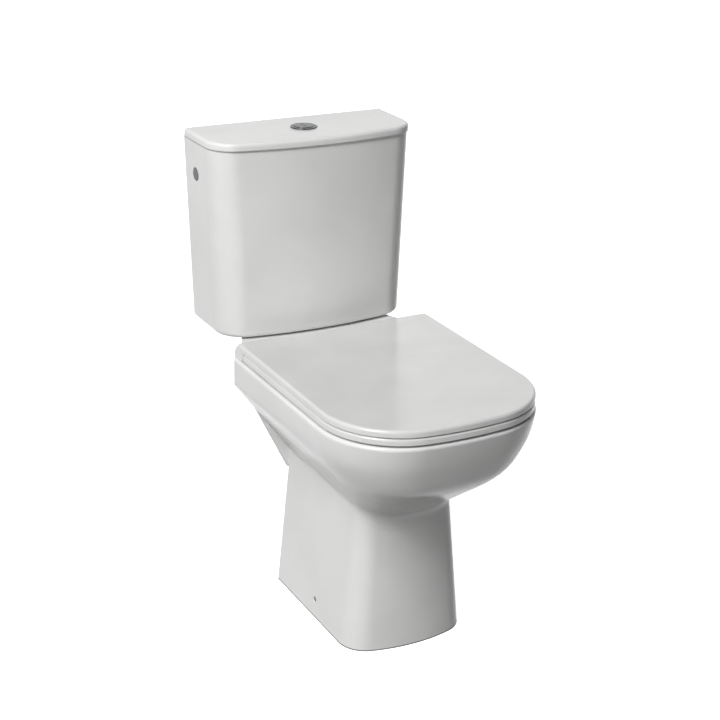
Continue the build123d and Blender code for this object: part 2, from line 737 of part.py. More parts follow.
def make_cistern():
    # made past the wall plane and cut there, so the back is flat with sharp edges
    body = cistern_block(0, -2 * CISTERN_INNER_CORNER, CISTERN_BOTTOM_Z, CISTERN_TOP_Z)
    low_edges = [e for e in body.edges() if e.center().Z < CISTERN_BOTTOM_Z + TOUCH]
    body = rounded(body, low_edges, CISTERN_BOTTOM_ROUND)
    body = body & block((-FAR, FAR), (0, FAR), (0, FAR))
    body = body - cistern_block(CISTERN_WALL, CISTERN_WALL, CISTERN_FLOOR_Z, CISTERN_TOP_Z + PAST)
    hole = VALVE_TAIL_RADIUS + VALVE_HOLE_GAP
    body = body - upright(hole, 0, FLUSH_OUT, CISTERN_BOTTOM_Z - PAST, CISTERN_FLOOR_Z + PAST)
    for x in (-BOLT_X, BOLT_X):
        body = body - upright(
            BOLT_HOLE_RADIUS, x, FLUSH_OUT, CISTERN_BOTTOM_Z - PAST, CISTERN_FLOOR_Z + PAST
        )
    inner = inside_face_x()
    outer = outside_face_x()
    faces = [(-1, PLUG_HEAD_RADIUS + PLUG_FACE_GAP), (1, FILL_NUT_FACE)]
    for side, face in faces:
        body = body - along_x(
            SIDE_HOLE_RADIUS, side * FILL_BARREL_END_X, side * LID_HALF, SIDE_HOLE_OUT, SIDE_HOLE_Z
        )
        body = body - along_x(face, side * outer, side * LID_HALF, SIDE_HOLE_OUT, SIDE_HOLE_Z)
        body = body - along_x(
            INSIDE_FACE_RADIUS, side * FILL_BARREL_END_X, side * inner, SIDE_HOLE_OUT, SIDE_HOLE_Z
        )
    return body


def make_cistern_lid():
    low = d_wire(
        CISTERN_TOP_Z, LID_HALF, LID_FRONT, 0, LID_CORNER, CISTERN_BOW, LID_BACK_CORNER
    )
    body = extrude(make_face(low), LID_EDGE)
    top_edges = [e for e in body.edges() if e.center().Z > LID_TOP_Z - TOUCH]
    body = rounded(body.solid(), top_edges, LID_TOP_ROUND)
    lip_out = CISTERN_WALL + LIP_GAP
    lip_low = CISTERN_TOP_Z - LIP_DEPTH
    lip = cistern_block(lip_out, lip_out, lip_low, CISTERN_TOP_Z)
    inner = lip_out + LIP_WIDTH
    lip = lip - cistern_block(inner, inner, lip_low - PAST, CISTERN_TOP_Z + PAST)
    hole = SLEEVE_RADIUS + LID_HOLE_GAP
    return body + lip - upright(hole, 0, FLUSH_OUT, CISTERN_TOP_Z - PAST, LID_TOP_Z + PAST)


# Dual flush button
def make_bezel():
    bore = SLEEVE_RADIUS - SLEEVE_WALL
    rim = upright(BEZEL_RADIUS, 0, FLUSH_OUT, LID_TOP_Z, LID_TOP_Z + BEZEL_HEIGHT)
    rim = rounded(rim, [rim.edges().sort_by(Axis.Z)[-1]], BEZEL_HEIGHT / 2)
    sleeve = upright(SLEEVE_RADIUS, 0, FLUSH_OUT, LID_TOP_Z - SLEEVE_LENGTH, LID_TOP_Z)
    through = upright(bore, 0, FLUSH_OUT, LID_TOP_Z - SLEEVE_LENGTH - PAST, LID_TOP_Z + 2 * BEZEL_HEIGHT)
    return rim + sleeve - through


def make_button(side):
    radius = SLEEVE_RADIUS - SLEEVE_WALL - BUTTON_GAP
    top = LID_TOP_Z + BEZEL_HEIGHT + BUTTON_PROUD
    disc = upright(radius, 0, FLUSH_OUT, top - BUTTON_DEPTH, top)
    disc = rounded(disc, [disc.edges().sort_by(Axis.Z)[-1]], BUTTON_PROUD)
    half = block(
        (side * BUTTON_SPLIT_GAP / 2, side * BEZEL_RADIUS),
        (FLUSH_OUT - BEZEL_RADIUS, FLUSH_OUT + BEZEL_RADIUS),
        (top - BUTTON_DEPTH - PAST, top + PAST),
    )
    return disc & half


def make_push_rod(side):
    top = LID_TOP_Z + BEZEL_HEIGHT + BUTTON_PROUD - BUTTON_DEPTH
    return upright(ROD_RADIUS, side * ROD_X, FLUSH_OUT, ROCKER_TOP_Z + ROD_END_GAP, top)


def make_button_nut():
    low = CISTERN_TOP_Z - BUTTON_NUT_HEIGHT
    return nut(BUTTON_NUT_RADIUS, SLEEVE_RADIUS + THREAD_GAP, 0, FLUSH_OUT, low, CISTERN_TOP_Z)


# Flush valve
def make_valve_body():
    flange_top = VALVE_FLANGE_Z + VALVE_FLANGE
    body = upright(VALVE_TAIL_RADIUS, 0, FLUSH_OUT, VALVE_TAIL_BOTTOM_Z, VALVE_FLANGE_Z)
    body = body + upright(VALVE_FLANGE_RADIUS, 0, FLUSH_OUT, VALVE_FLANGE_Z, flange_top)
    body = body + upright(VALVE_SEAT_RADIUS, 0, FLUSH_OUT, flange_top, VALVE_SEAT_Z)
    body = body - upright(VALVE_TAIL_BORE, 0, FLUSH_OUT, VALVE_TAIL_BOTTOM_Z - PAST, VALVE_SEAT_Z + PAST)
    guide = TUBE_RADIUS + TUBE_GUIDE_GAP
    body = body + washer(
        BASKET_RING_RADIUS, guide, 0, FLUSH_OUT, BASKET_TOP_Z, BASKET_RING_Z
    )
    post_height = BASKET_TOP_Z - flange_top + 2 * PAST
    middle_z = (BASKET_TOP_Z + flange_top) / 2
    for i in range(4):
        spot = Pos(0, y_at(FLUSH_OUT), middle_z) * Rot(0, 0, 45 + 90 * i)
        body = body + spot * Pos(BASKET_POST_RADIUS, 0, 0) * Box(
            BASKET_POST_DEEP, BASKET_POST_WIDE, post_height
        )
    head_z = PIVOT_Z + TOWER_HEAD
    for x in (-PIVOT_X, PIVOT_X):
        for y in (-TOWER_POST_Y, TOWER_POST_Y):
            body = body + block(
                (x - TOWER_POST / 2, x + TOWER_POST / 2),
                (FLUSH_OUT + y - TOWER_POST / 2, FLUSH_OUT + y + TOWER_POST / 2),
                (BASKET_RING_Z - PAST, head_z),
            )
        reach = TOWER_POST_Y + TOWER_POST
        body = body - along_y(
            PIN_RADIUS + PIN_SEAT_GAP, x, FLUSH_OUT - reach, FLUSH_OUT + reach, PIVOT_Z
        )
    return body


def make_tube():
    plate_top = TUBE_BOTTOM_Z + SEAL_PLATE
    body = upright(TUBE_RADIUS, 0, FLUSH_OUT, TUBE_BOTTOM_Z, TUBE_TOP_Z)
    body = body + upright(SEAL_RADIUS, 0, FLUSH_OUT, TUBE_BOTTOM_Z, plate_top)
    bore = TUBE_RADIUS - TUBE_WALL
    return body - upright(bore, 0, FLUSH_OUT, TUBE_BOTTOM_Z - PAST, TUBE_TOP_Z + PAST)


def lifter(side, low, height, hole):
    # a ring round the tube with an arm, a leg and a hook over the end of a rocker
    leg_inner = YOKE_LEG_X - YOKE_LEG / 2
    leg_outer = YOKE_LEG_X + YOKE_LEG / 2
    depth = (FLUSH_OUT - YOKE_WIDTH / 2, FLUSH_OUT + YOKE_WIDTH / 2)
    body = upright(COLLAR_RADIUS, 0, FLUSH_OUT, low, low + height)
    body = body + block((side * TUBE_RADIUS, side * leg_outer), depth, (low, low + height))
    body = body + block((side * leg_inner, side * leg_outer), depth, (low, HOOK_Z + YOKE_HOOK))
    body = body + block((side * YOKE_HOOK_X, side * leg_outer), depth, (HOOK_Z, HOOK_Z + YOKE_HOOK))
    return body - upright(hole, 0, FLUSH_OUT, low - PAST, low + height + PAST)


def make_rocker(side):
    tower_face = TOWER_POST_Y - TOWER_POST / 2 - ROCKER_SIDE_GAP
    body = block(
        (side * (PIVOT_X - ROCKER_HALF), side * (PIVOT_X + ROCKER_HALF)),
        (FLUSH_OUT - ROCKER_WIDTH / 2, FLUSH_OUT + ROCKER_WIDTH / 2),
        (PIVOT_Z - ROCKER_THICK / 2, ROCKER_TOP_Z),
    )
    x = side * PIVOT_X
    body = body + along_y(
        ROCKER_BOSS, x, FLUSH_OUT - tower_face, FLUSH_OUT + tower_face, PIVOT_Z
    )
    return body - along_y(
        PIN_RADIUS + PIN_GAP, x, FLUSH_OUT - 2 * tower_face, FLUSH_OUT + 2 * tower_face, PIVOT_Z
    )


def make_rocker_pin():
    reach = TOWER_POST_Y + TOWER_POST / 2
    return along_y(PIN_RADIUS, PIVOT_X, FLUSH_OUT - reach, FLUSH_OUT + reach, PIVOT_Z)


# Fill valve, in the side hole on the right
def make_fill_body():
    washer_x = inside_face_x() - SIDE_WASHER
    flange_x = washer_x - FILL_FLANGE
    supply_x = outside_face_x() + FILL_NUT_HEIGHT + FILL_NUT_SHOW
    end_x = supply_x + SUPPLY_LENGTH
    body = along_x(FILL_BARREL_RADIUS, FILL_BARREL_END_X, flange_x, SIDE_HOLE_OUT, SIDE_HOLE_Z)
    body = body + along_x(SIDE_WASHER_RADIUS, flange_x, washer_x, SIDE_HOLE_OUT, SIDE_HOLE_Z)
    body = body + along_x(SHANK_RADIUS, washer_x, supply_x, SIDE_HOLE_OUT, SIDE_HOLE_Z)
    body = body + along_x(SUPPLY_RADIUS, supply_x, end_x, SIDE_HOLE_OUT, SIDE_HOLE_Z)
    socket_z = SIDE_HOLE_Z - DISCHARGE_SOCKET_LENGTH
    body = body + upright(DISCHARGE_SOCKET, DISCHARGE_X, SIDE_HOLE_OUT, socket_z, SIDE_HOLE_Z)
    for side in (-1, 1):
        near = ARM_X + side * (ARM_WIDTH / 2 + ARM_SIDE_GAP)
        body = body + block(
            (near, near + side * ARM_LUG),
            (SIDE_HOLE_OUT, ARM_PIVOT_OUT + ARM_THICK),
            (SIDE_HOLE_Z - ARM_THICK, SIDE_HOLE_Z + ARM_THICK),
        )
    lug_x = ARM_WIDTH / 2 + ARM_SIDE_GAP + ARM_LUG
    body = body - along_x(
        PIN_RADIUS + PIN_SEAT_GAP, ARM_X - lug_x - PAST, ARM_X + lug_x + PAST, ARM_PIVOT_OUT, SIDE_HOLE_Z
    )
    body = body - along_x(SHANK_BORE, DISCHARGE_X, end_x + PAST, SIDE_HOLE_OUT, SIDE_HOLE_Z)
    body = body - upright(
        DISCHARGE_RADIUS - DISCHARGE_WALL, DISCHARGE_X, SIDE_HOLE_OUT, socket_z - PAST, SIDE_HOLE_Z
    )
    return body - upright(
        DISCHARGE_RADIUS + PIN_SEAT_GAP,
        DISCHARGE_X,
        SIDE_HOLE_OUT,
        socket_z - PAST,
        socket_z + DISCHARGE_SOCKET_DEPTH,
    )


def make_discharge_tube():
    top = SIDE_HOLE_Z - DISCHARGE_SOCKET_LENGTH + DISCHARGE_SOCKET_DEPTH
    inner = DISCHARGE_RADIUS - DISCHARGE_WALL
    return washer(DISCHARGE_RADIUS, inner, DISCHARGE_X, SIDE_HOLE_OUT, DISCHARGE_BOTTOM_Z, top)


def make_side_washer(side):
    outer = side * inside_face_x()
    inner = side * (inside_face_x() - SIDE_WASHER)
    disc = along_x(SIDE_WASHER_RADIUS, inner, outer, SIDE_HOLE_OUT, SIDE_HOLE_Z)
    hole = SHANK_RADIUS + SIDE_WASHER_GAP
    return disc - along_x(hole, inner - side, outer + side, SIDE_HOLE_OUT, SIDE_HOLE_Z)


def side_nut(radius, x0, x1, hole):
    middle = Pos(min(x0, x1), y_at(SIDE_HOLE_OUT), SIDE_HOLE_Z) * Rot(0, 90, 0)
    hexagon = middle * extrude(RegularPolygon(radius, 6), abs(x1 - x0))
    return hexagon - along_x(hole, min(x0, x1) - PAST, max(x0, x1) + PAST, SIDE_HOLE_OUT, SIDE_HOLE_Z)


def make_fill_nut():
    x = outside_face_x()
    return side_nut(FILL_NUT_RADIUS, x, x + FILL_NUT_HEIGHT, SHANK_RADIUS + THREAD_GAP)


def make_float_arm():
    half = ARM_WIDTH / 2
    end = FLOAT_OUT + ARM_THICK
    body = block(
        (ARM_X - half, ARM_X + half),
        (ARM_PIVOT_OUT, end),
        (SIDE_HOLE_Z - ARM_THICK / 2, SIDE_HOLE_Z + ARM_THICK / 2),
    )
    body = body + along_x(ARM_THICK / 2, ARM_X - half, ARM_X + half, ARM_PIVOT_OUT, SIDE_HOLE_Z)
    body = body - upright(
        FLOAT_ROD_RADIUS + PIN_SEAT_GAP,
        ARM_X,
        FLOAT_OUT,
        SIDE_HOLE_Z - ARM_THICK,
        SIDE_HOLE_Z + ARM_THICK,
    )
    return body - along_x(
        PIN_RADIUS + PIN_GAP, ARM_X - ARM_WIDTH, ARM_X + ARM_WIDTH, ARM_PIVOT_OUT, SIDE_HOLE_Z
    )


def make_float():
    top = SIDE_HOLE_Z - ARM_THICK / 2 - FLOAT_DROP
    body = upright(FLOAT_RADIUS, ARM_X, FLOAT_OUT, top - FLOAT_HEIGHT, top)
    body = rounded(body, body.edges().filter_by(GeomType.CIRCLE), FLOAT_DROP)
    return body + upright(FLOAT_ROD_RADIUS, ARM_X, FLOAT_OUT, top - PAST, SIDE_HOLE_Z + ARM_THICK)


def make_float_pin():
    reach = ARM_WIDTH / 2 + ARM_SIDE_GAP + ARM_LUG
    return along_x(PIN_RADIUS, ARM_X - reach, ARM_X + reach, ARM_PIVOT_OUT, SIDE_HOLE_Z)


# Plug in the unused side hole on the left
def make_plug():
    face = outside_face_x()
    end = inside_face_x() - SIDE_WASHER - PLUG_NUT_HEIGHT - PLUG_TAIL
    head = along_x(PLUG_HEAD_RADIUS, -face, -face - PLUG_HEAD, SIDE_HOLE_OUT, SIDE_HOLE_Z)
    head = rounded(head, [head.edges().sort_by(Axis.X)[0]], PLUG_HEAD / 3)
    return head + along_x(PLUG_RADIUS, -end, -face, SIDE_HOLE_OUT, SIDE_HOLE_Z)


def make_plug_nut():
    x = -inside_face_x() + SIDE_WASHER
    return side_nut(PLUG_NUT_RADIUS, x, x + PLUG_NUT_HEIGHT, PLUG_RADIUS + THREAD_GAP)


# Bolts, washers and gasket between cistern and pan
def make_cistern_bolt():
    shank = upright(BOLT_RADIUS, BOLT_X, FLUSH_OUT, BOLT_END_Z, BOLT_HEAD_Z)
    return shank + upright(BOLT_HEAD_RADIUS, BOLT_X, FLUSH_OUT, BOLT_HEAD_Z, BOLT_HEAD_Z + BOLT_HEAD)


def bolt_washer(radius, low, high):
    return washer(radius, BOLT_RADIUS + THREAD_GAP, BOLT_X, FLUSH_OUT, low, high)


def make_wing_nut():
    low = WING_NUT_TOP_Z - WING_NUT_HEIGHT
    body = upright(WING_NUT_RADIUS, BOLT_X, FLUSH_OUT, low, WING_NUT_TOP_Z)
    body = body + block(
        (BOLT_X - WING_SPAN, BOLT_X + WING_SPAN),
        (FLUSH_OUT - WING_THICK / 2, FLUSH_OUT + WING_THICK / 2),
        (low, WING_NUT_TOP_Z),
    )
    return body - upright(BOLT_RADIUS + THREAD_GAP, BOLT_X, FLUSH_OUT, low - PAST, WING_NUT_TOP_Z + PAST)


# Seat ring, seat lid and hinge
def seat_wire(z, inset, back, back_corner):
    return d_wire(
        z,
        SEAT_HALF - inset,
        SEAT_FRONT - inset,
        back,
        SEAT_CORNER - inset,
        SEAT_BOW - inset,
        back_corner,
    )


def hinge_bar(radius, x0, x1):
    return along_x(radius, x0, x1, HINGE_OUT, HINGE_Z)


def make_seat_ring():
    body = extrude(
        make_face(seat_wire(RING_BOTTOM_Z, 0, RING_BACK - RING_BACK_LAP, RING_BACK_CORNER)),
        RING_TOP_Z - RING_BOTTOM_Z,
    )
    hole = make_face(oval_wire(RING_BOTTOM_Z, RING_HOLE_HALF, RING_HOLE_BACK, RING_HOLE_FRONT))
    body = body - extrude(hole, RING_TOP_Z - RING_BOTTOM_Z)
    top_edges = [e for e in body.edges() if e.center().Z > RING_TOP_Z - TOUCH]
    body = rounded(body.solid(), top_edges, RING_ROUND)
    body = body - hinge_bar(RING_BACK_GAP, -FAR, FAR)
    near = HINGE_BOLT_X + POST_HALF_WIDTH + KNUCKLE_GAP
    far = near + KNUCKLE_WIDTH
    for side in (-1, 1):
        body = body + hinge_bar(KNUCKLE_RADIUS, side * near, side * far)
        body = body + block(
            (side * near, side * far),
            (HINGE_OUT, RING_BACK + RING_BACK_LAP),
            (RING_TOP_Z - KNUCKLE_BAR, RING_TOP_Z),
        )
        body = body - hinge_bar(HINGE_PIN_RADIUS + PIN_GAP, side * (near - PAST), side * (far + PAST))
    return body


def cheek(x0, x1):
    # closes the end of the hinge down to the rim, round about the hinge line
    ahead = hinge_bar(RING_BACK_GAP - CHEEK_GAP, x0, x1) & block((x0, x1), (HINGE_OUT, FAR), (0, FAR))
    body = hinge_bar(BARREL_RADIUS, x0, x1) + ahead
    return body & block((x0, x1), (0, FAR), (RIM_Z + CHEEK_LIFT, SEAT_LID_BOTTOM_Z + PAST))


def on_lid_edge(edge):
    # the upper edge round the sides and front, with the ends of the hinge barrel
    middle = edge.center()
    along_top = middle.Z > SEAT_LID_TOP_Z - TOUCH and middle.Y < y_at(HINGE_OUT) - TOUCH
    at_end = abs(middle.X) > SEAT_HALF - TOUCH and middle.Y > y_at(HINGE_OUT) and middle.Z > HINGE_Z
    return along_top or at_end


def make_seat_lid():
    thick = SEAT_LID_TOP_Z - SEAT_LID_BOTTOM_Z
    past = HINGE_OUT - RING_BACK_CORNER - PAST
    plate = extrude(make_face(seat_wire(SEAT_LID_BOTTOM_Z, 0, past, RING_BACK_CORNER)), thick)
    plate = plate & block((-FAR, FAR), (HINGE_OUT, FAR), (0, FAR))
    cover = hinge_bar(BARREL_RADIUS, -SEAT_HALF, SEAT_HALF) & block(
        (-SEAT_HALF, SEAT_HALF),
        (HINGE_OUT - BARREL_RADIUS, HINGE_OUT),
        (HINGE_Z - COVER_DROP, SEAT_LID_TOP_Z),
    )
    body = (plate + cover).solid()
    body = rounded(body, [e for e in body.edges() if on_lid_edge(e)], SEAT_LID_ROUND)
    for side in (-1, 1):
        body = body + cheek(side * (SEAT_HALF - BARREL_END), side * SEAT_HALF)
    body = body - hinge_bar(BARREL_INNER, -SEAT_HALF + BARREL_END, SEAT_HALF - BARREL_END)
    recess = seat_wire(
        SEAT_LID_BOTTOM_Z, SEAT_LID_RIM, HINGE_OUT + BARREL_RADIUS + SEAT_LID_RIM, BACK_CORNER
    )
    body = body - extrude(make_face(recess), SEAT_LID_RECESS)
    far = HINGE_BOLT_X - POST_HALF_WIDTH - KNUCKLE_GAP
    near = far - KNUCKLE_WIDTH
    clear = POST_HALF_WIDTH + KNUCKLE_GAP + KNUCKLE_WIDTH + COVER_SIDE_GAP
    clear_z = HINGE_Z + BARREL_RADIUS * sin(radians(COVER_CLEAR_ANGLE))
    for side in (-1, 1):
        body = body - block(
            (side * (HINGE_BOLT_X - clear), side * (HINGE_BOLT_X + clear)),
            (HINGE_OUT - 2 * BARREL_RADIUS, HINGE_OUT),
            (0, clear_z),
        )
        body = body + hinge_bar(KNUCKLE_RADIUS, side * near, side * far)
        body = body + block(
            (side * near, side * far),
            (HINGE_OUT - KNUCKLE_RADIUS / 2, HINGE_OUT + KNUCKLE_RADIUS / 2),
            (HINGE_Z, SEAT_LID_TOP_Z - SEAT_LID_SKIN),
        )
        body = body - hinge_bar(HINGE_PIN_RADIUS + PIN_GAP, side * (near - PAST), side * (far + PAST))
    return body


def make_hinge_post():
    low = HINGE_BOLT_X - POST_HALF_WIDTH
    high = HINGE_BOLT_X + POST_HALF_WIDTH
    body = upright(POST_BASE_RADIUS, HINGE_BOLT_X, HINGE_OUT, RIM_Z, RIM_Z + POST_BASE)
    body = body + block(
        (low, high), (HINGE_OUT - POST_HALF_DEPTH, HINGE_OUT + POST_HALF_DEPTH), (RIM_Z, HINGE_Z)
    )
    body = body + hinge_bar(POST_HALF_DEPTH, low, high)
    body = body + upright(HINGE_BOLT_RADIUS, HINGE_BOLT_X, HINGE_OUT, HINGE_BOLT_END_Z, RIM_Z)
    return body - hinge_bar(HINGE_PIN_RADIUS + PIN_SEAT_GAP, low - PAST, high + PAST)


def make_hinge_pin():
    reach = POST_HALF_WIDTH + KNUCKLE_GAP + KNUCKLE_WIDTH
    return hinge_bar(HINGE_PIN_RADIUS, HINGE_BOLT_X - reach, HINGE_BOLT_X + reach)


def make_hinge_washer():
    hole = HINGE_BOLT_RADIUS + THREAD_GAP
    low = HOLLOW_TOP_Z - HINGE_WASHER
    return washer(HINGE_WASHER_RADIUS, hole, HINGE_BOLT_X, HINGE_OUT, low, HOLLOW_TOP_Z)


def make_hinge_nut():
    top = HOLLOW_TOP_Z - HINGE_WASHER
    hole = HINGE_BOLT_RADIUS + THREAD_GAP
    return nut(HINGE_NUT_RADIUS, hole, HINGE_BOLT_X, HINGE_OUT, top - HINGE_NUT_HEIGHT, top)


def bumpers(radius, spots, low, high):
    solids = []
    for x, out in spots:
        solids += both_sides(upright(radius, x, out, low, high))
    return solids


# Floor fixing
def make_bracket():
    back_x = pedestal_half(BRACKET_TOP_Z) - PEDESTAL_WALL - BRACKET_WALL_GAP
    depth = (FIX_OUT - BRACKET_HALF_WIDTH, FIX_OUT + BRACKET_HALF_WIDTH)
    body = block((back_x - BRACKET_THICK, back_x), depth, (0, BRACKET_TOP_Z))
    body = body + block((back_x - BRACKET_FOOT, back_x), depth, (0, BRACKET_THICK))
    screw_hole = FIX_SCREW_RADIUS + THREAD_GAP
    body = body - along_x(screw_hole, back_x - 2 * BRACKET_THICK, back_x + PAST, FIX_OUT, FIX_Z)
    floor_hole = FLOOR_SCREW_RADIUS + THREAD_GAP
    return body - upright(floor_hole, back_x - BRACKET_FOOT / 2, FIX_OUT, -1, BRACKET_THICK + PAST)


def make_side_screw():
    head = fix_head_x()
    body = along_x(FIX_HEAD_RADIUS, head, head + FIX_HEAD, FIX_OUT, FIX_Z)
    return body + along_x(FIX_SCREW_RADIUS, head - FIX_SCREW_LENGTH, head, FIX_OUT, FIX_Z)


def make_floor_screw():
    back_x = pedestal_half(BRACKET_TOP_Z) - PEDESTAL_WALL - BRACKET_WALL_GAP
    x = back_x - BRACKET_FOOT / 2
    shank = upright(FLOOR_SCREW_RADIUS, x, FIX_OUT, 0, BRACKET_THICK)
    top = BRACKET_THICK + FLOOR_SCREW_HEAD
    return shank + upright(FLOOR_SCREW_HEAD_RADIUS, x, FIX_OUT, BRACKET_THICK, top)


save("pan", make_pan())
save("bowl", basin_slice(THROAT_TOP_Z, HOLLOW_TOP_Z))
save("throat", basin_slice(SUMP_TOP_Z, THROAT_TOP_Z))
save("sump", basin_slice(0, SUMP_TOP_Z))
save("trapway", make_trapway())
save("cistern", make_cistern())
save("cistern_lid", make_cistern_lid())
save("button_bezel", make_bezel())
save("button_nut", make_button_nut())
save("full_flush_button", make_button(1))
save("half_flush_button", make_button(-1))
save("full_push_rod", make_push_rod(1))
save("half_push_rod", make_push_rod(-1))

save("flush_valve_body", make_valve_body())
save(
    "valve_washer",
    washer(
        VALVE_FLANGE_RADIUS,
        VALVE_TAIL_RADIUS + THREAD_GAP,
        0,
        FLUSH_OUT,
        CISTERN_FLOOR_Z,
        VALVE_FLANGE_Z,
    ),
)
save(
    "back_nut",
    nut(
        BACK_NUT_RADIUS,
        VALVE_TAIL_RADIUS + THREAD_GAP,
        0,
        FLUSH_OUT,
        CISTERN_BOTTOM_Z - BACK_NUT_HEIGHT,
        CISTERN_BOTTOM_Z,
    ),
)
save("overflow_tube", make_tube())
save("flush_seal", washer(SEAL_RADIUS, TUBE_RADIUS, 0, FLUSH_OUT, VALVE_SEAT_Z, TUBE_BOTTOM_Z))
float_low = TUBE_BOTTOM_Z + FLUSH_FLOAT_LOW
save(
    "flush_float",
    washer(
        FLUSH_FLOAT_RADIUS,
        TUBE_RADIUS + PIN_SEAT_GAP,
        0,
        FLUSH_OUT,
        float_low,
        float_low + FLUSH_FLOAT_HEIGHT,
    ),
)
save("lifting_yoke", lifter(1, YOKE_BAR_Z, YOKE_BAR, TUBE_RADIUS + PIN_SEAT_GAP))
save("half_flush_collar", lifter(-1, BASKET_RING_Z, COLLAR_HEIGHT, TUBE_RADIUS + COLLAR_GAP))
save("full_flush_rocker", make_rocker(1))
save("half_flush_rocker", make_rocker(-1))
save("rocker_pins", *both_sides(make_rocker_pin()))

save("fill_valve_body", make_fill_body())
save("fill_washer", make_side_washer(1))
save("fill_nut", make_fill_nut())
save("discharge_tube", make_discharge_tube())
save("float_arm", make_float_arm())
save("fill_float", make_float())
save("float_arm_pin", make_float_pin())
save("side_plug", make_plug())
save("plug_washer", make_side_washer(-1))
save("plug_nut", make_plug_nut())

save(
    "coupling_gasket",
    washer(GASKET_OUTER, GASKET_INNER, 0, FLUSH_OUT, GASKET_RECESS_Z, CISTERN_BOTTOM_Z),
)
save("cistern_bolts", *both_sides(make_cistern_bolt()))
save(
    "bolt_seals",
    *both_sides(bolt_washer(RUBBER_WASHER_RADIUS, CISTERN_FLOOR_Z, BOLT_HEAD_Z)),
)
save(
    "support_washers",
    *both_sides(bolt_washer(RUBBER_WASHER_RADIUS, PLATFORM_Z, CISTERN_BOTTOM_Z)),
)
save(
    "bolt_washers",
    *both_sides(bolt_washer(STEEL_WASHER_RADIUS, WING_NUT_TOP_Z, SLAB_BOTTOM_Z)),
)
save("wing_nuts", *both_sides(make_wing_nut()))

save("seat_ring", make_seat_ring())
save("seat_lid", make_seat_lid())
save("hinge_posts", *both_sides(make_hinge_post()))
save("hinge_pins", *both_sides(make_hinge_pin()))
save("hinge_washers", *both_sides(make_hinge_washer()))
save("hinge_nuts", *both_sides(make_hinge_nut()))
save(
    "ring_bumpers",
    *bumpers(BUMPER_RADIUS, (BUMPER_BACK, BUMPER_FRONT), RIM_Z, RING_BOTTOM_Z),
)
save(
    "lid_bumpers",
    *bumpers(
        LID_BUMPER_RADIUS,
        (LID_BUMPER_BACK, LID_BUMPER_FRONT),
        RING_TOP_Z,
        SEAT_LID_BOTTOM_Z + SEAT_LID_RECESS,
    ),
)
save("floor_brackets", *both_sides(make_bracket()))
save("side_screws", *both_sides(make_side_screw()))
save("floor_screws", *both_sides(make_floor_screw()))
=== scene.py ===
import json
from math import pi, radians

import bpy
import numpy as np
from mathutils import Matrix, Vector


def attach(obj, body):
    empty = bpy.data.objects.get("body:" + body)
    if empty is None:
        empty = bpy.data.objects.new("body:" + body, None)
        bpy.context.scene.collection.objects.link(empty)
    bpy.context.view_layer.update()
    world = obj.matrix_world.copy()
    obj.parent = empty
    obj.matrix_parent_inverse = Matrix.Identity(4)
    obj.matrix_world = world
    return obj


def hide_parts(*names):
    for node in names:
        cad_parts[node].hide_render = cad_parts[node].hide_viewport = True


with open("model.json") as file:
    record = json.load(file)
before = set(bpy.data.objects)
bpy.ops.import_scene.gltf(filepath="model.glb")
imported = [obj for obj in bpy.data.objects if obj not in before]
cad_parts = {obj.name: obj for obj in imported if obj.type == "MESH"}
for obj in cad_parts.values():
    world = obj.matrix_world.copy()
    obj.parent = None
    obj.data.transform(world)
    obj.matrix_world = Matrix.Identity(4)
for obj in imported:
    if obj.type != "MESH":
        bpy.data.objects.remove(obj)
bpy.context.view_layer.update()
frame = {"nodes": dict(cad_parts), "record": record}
scene = bpy.context.scene
cad = frame["nodes"]
mm = 0.001  # sizes below are in millimetres unless they say otherwise


def linear(hexColour):
    # sRGB hex to linear light: c/12.92 below 0.04045, ((c+0.055)/1.055)^2.4 above
    srgb = np.array([int(hexColour[i:i + 2], 16) for i in (1, 3, 5)]) / 255
    light = np.where(srgb <= 0.04045, srgb / 12.92, ((srgb + 0.055) / 1.055) ** 2.4)
    return (*light.tolist(), 1.0)


def setSockets(tree, node, sockets):
    for name, value in sockets.items():
        if isinstance(value, bpy.types.NodeSocket):
            tree.links.new(value, node.inputs[name])
        else:
            node.inputs[name].default_value = value


def addNode(tree, kind, sockets=None, **settings):
    node = tree.nodes.new(kind)
    for name, value in settings.items():
        setattr(node, name, value)
    setSockets(tree, node, sockets or {})
    return node


# Materials: each finish has a slow drift of colour, patches of gloss and a fine relief, all drawn by noise
patches = {
    "detail": 3.0, "stretch": (1, 1, 1),  # of a noise that says nothing else
    "driftEnds": (0.35, 0.65), "glossEnds": (0.3, 0.7),  # noise values where colour and gloss stop changing
}


def startMaterial(name):
    material = bpy.data.materials.new(name)
    material.use_nodes = True
    tree = material.node_tree
    tree.nodes.clear()
    place = addNode(tree, "ShaderNodeTexCoord").outputs["Object"]
    return material, tree, place


